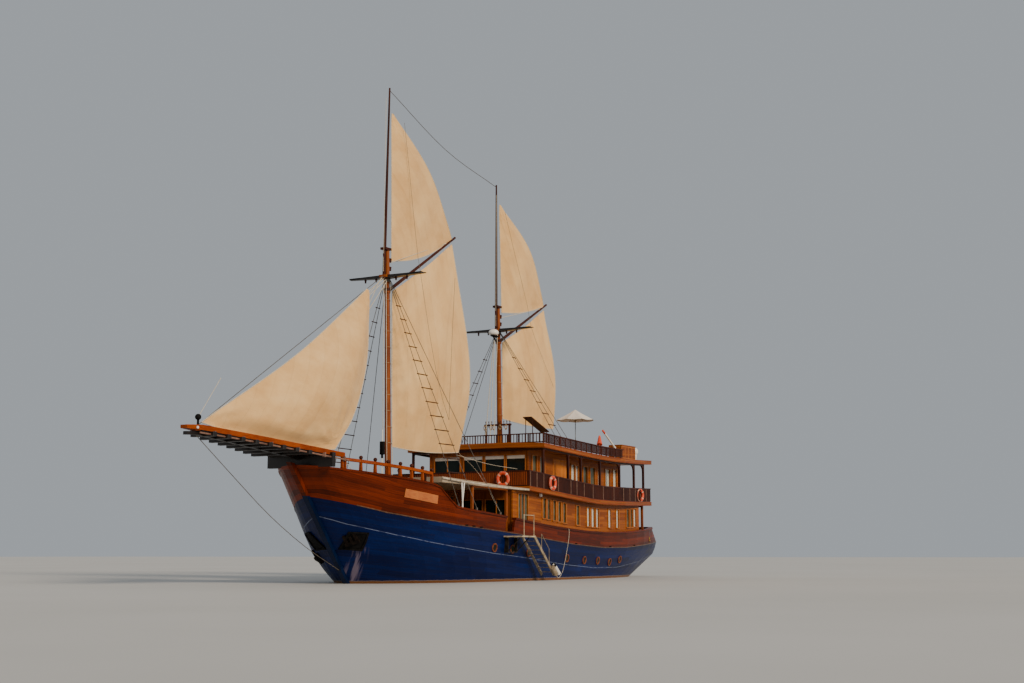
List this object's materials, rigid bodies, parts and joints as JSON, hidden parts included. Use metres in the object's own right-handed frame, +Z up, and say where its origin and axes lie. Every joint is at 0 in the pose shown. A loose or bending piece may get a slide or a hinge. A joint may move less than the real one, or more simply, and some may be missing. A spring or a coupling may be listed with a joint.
{
  "type": "wooden two-masted charter yacht",
  "caption": "Wooden gaff-rigged motor-sailing yacht afloat under full sail, with two house decks, long bowsprit, boarding platform and ladder.",
  "frame": {"origin": "on the centreline at the water's surface, 13.0 m aft of where the stem meets the water", "axes": "+X towards the bow, +Y to port, +Z up"},
  "size_m": [38.18, 9.083, 25.839],
  "materials": {
    "hull_paint": "gloss navy paint",
    "varnish": "gloss varnish",
    "house_timber": "varnished planking",
    "teak": "bare oiled deck",
    "dark_wood": "dark stain",
    "shutter": "varnished slats",
    "canvas": "matte woven",
    "white_paint": "satin",
    "steel": "galvanised",
    "bronze": "dull",
    "rope": "laid rope",
    "ring_foam": "matte",
    "glass": "clear, slightly green",
    "curtain": "matte",
    "white_plastic": "smooth"
  },
  "bodies": {
    "yacht": {"hull": "hull_paint", "keel": "hull_paint", "stem_post": "hull_paint", "bulwark_port": "varnish", "bulwark_starboard": "varnish", "stern_bulwark": "varnish", "foredeck": "teak", "forecastle_bulkhead": "varnish", "bowsprit_beams": "varnish", "forecastle_rail_port": "varnish", "forecastle_rail_starboard": "varnish", "bowsprit_planks": "dark_wood", "upper_deck": "house_timber", "lower_house_port": "house_timber", "lower_house_starboard": "house_timber", "lower_house_front": "house_timber", "lower_house_aft": "house_timber", "upper_house_port": "house_timber", "upper_house_starboard": "house_timber", "upper_house_front": "varnish", "upper_house_aft": "house_timber", "roof": "varnish", "upper_rail": "dark_wood", "roof_posts": "dark_wood", "aft_deck_posts": "varnish", "awning_posts": "varnish", "roof_rail": "dark_wood", "fore_mast": "varnish", "fore_topmast": "dark_wood", "mizzen_mast": "varnish", "mizzen_topmast": "dark_wood", "awning_deck": "white_paint", "fore_shrouds": "steel", "mizzen_shrouds": "steel", "forestay": "steel", "bobstay": "steel", "triatic_stay": "steel", "jib": "canvas", "anchor_port": "steel", "anchor_starboard": "steel", "boarding_platform": "white_paint", "ladder_rope": "rope", "locker": "house_timber", "umbrella_stand": "steel", "umbrella_canopy": "canvas"},
    "rudder": {"rudder": "hull_paint"},
    "propeller": {"propeller": "bronze"},
    "fore_gaff_set": {"fore_gaff": "dark_wood", "fore_gaff_sail": "canvas", "fore_topsail": "canvas"},
    "mizzen_gaff_set": {"mizzen_gaff": "dark_wood", "mizzen_gaff_sail": "canvas", "mizzen_topsail": "canvas"},
    "door_fore_port": {"cabin_door_fore_port": "shutter"},
    "door_aft_port": {"cabin_door_aft_port": "shutter"},
    "door_fore_starboard": {"cabin_door_fore_starboard": "shutter"},
    "door_aft_starboard": {"cabin_door_aft_starboard": "shutter"},
    "saloon_door": {"saloon_door": "shutter"},
    "locker_lid": {"locker_lid": "house_timber"},
    "boarding_ladder": {"boarding_ladder": "white_paint"}
  },
  "joints": [
    {"name": "rudder_turn", "type": "hinge", "parent": "yacht", "child": "rudder", "pos_m": [-12.9, 0, -1.5], "axis": [0, 0, 1], "range_deg": [-35, 35]},
    {"name": "propeller_spin", "type": "hinge", "parent": "yacht", "child": "propeller", "pos_m": [-12.01, 0, -1.65], "axis": [1, 0, 0], "continuous": true},
    {"name": "fore_gaff_swing", "type": "hinge", "parent": "yacht", "child": "fore_gaff_set", "pos_m": [9.64, 0, 0], "axis": [0.029, 0, 0.9996], "range_deg": [-20, 20]},
    {"name": "mizzen_gaff_swing", "type": "hinge", "parent": "yacht", "child": "mizzen_gaff_set", "pos_m": [-0.99, 0, 0], "axis": [0.029, 0, 0.9996], "range_deg": [-20, 20]},
    {"name": "door_fore_port_hinge", "type": "hinge", "parent": "yacht", "child": "door_fore_port", "pos_m": [-1.244, 2.9153, 5.2], "axis": [0, 0, -1], "range_deg": [0, 90]},
    {"name": "door_aft_port_hinge", "type": "hinge", "parent": "yacht", "child": "door_aft_port", "pos_m": [-2.996, 2.9153, 5.2], "axis": [0, 0, 1], "range_deg": [0, 90]},
    {"name": "door_fore_starboard_hinge", "type": "hinge", "parent": "yacht", "child": "door_fore_starboard", "pos_m": [-1.244, -2.9153, 5.2], "axis": [0, 0, 1], "range_deg": [0, 90]},
    {"name": "door_aft_starboard_hinge", "type": "hinge", "parent": "yacht", "child": "door_aft_starboard", "pos_m": [-2.996, -2.9153, 5.2], "axis": [0, 0, -1], "range_deg": [0, 90]},
    {"name": "saloon_door_hinge", "type": "hinge", "parent": "yacht", "child": "saloon_door", "pos_m": [4.3353, 0.406, 3.1], "axis": [0, 0, 1], "range_deg": [0, 90]},
    {"name": "locker_lid_hinge", "type": "hinge", "parent": "yacht", "child": "locker_lid", "pos_m": [-10.65, 2.2, 7.4], "axis": [1, 0, 0], "range_deg": [0, 100]},
    {"name": "boarding_ladder_hinge", "type": "hinge", "parent": "yacht", "child": "boarding_ladder", "pos_m": [4.3944, 4.43, 2.09], "axis": [0, 1, 0], "range_deg": [0, 42]}
  ]
}
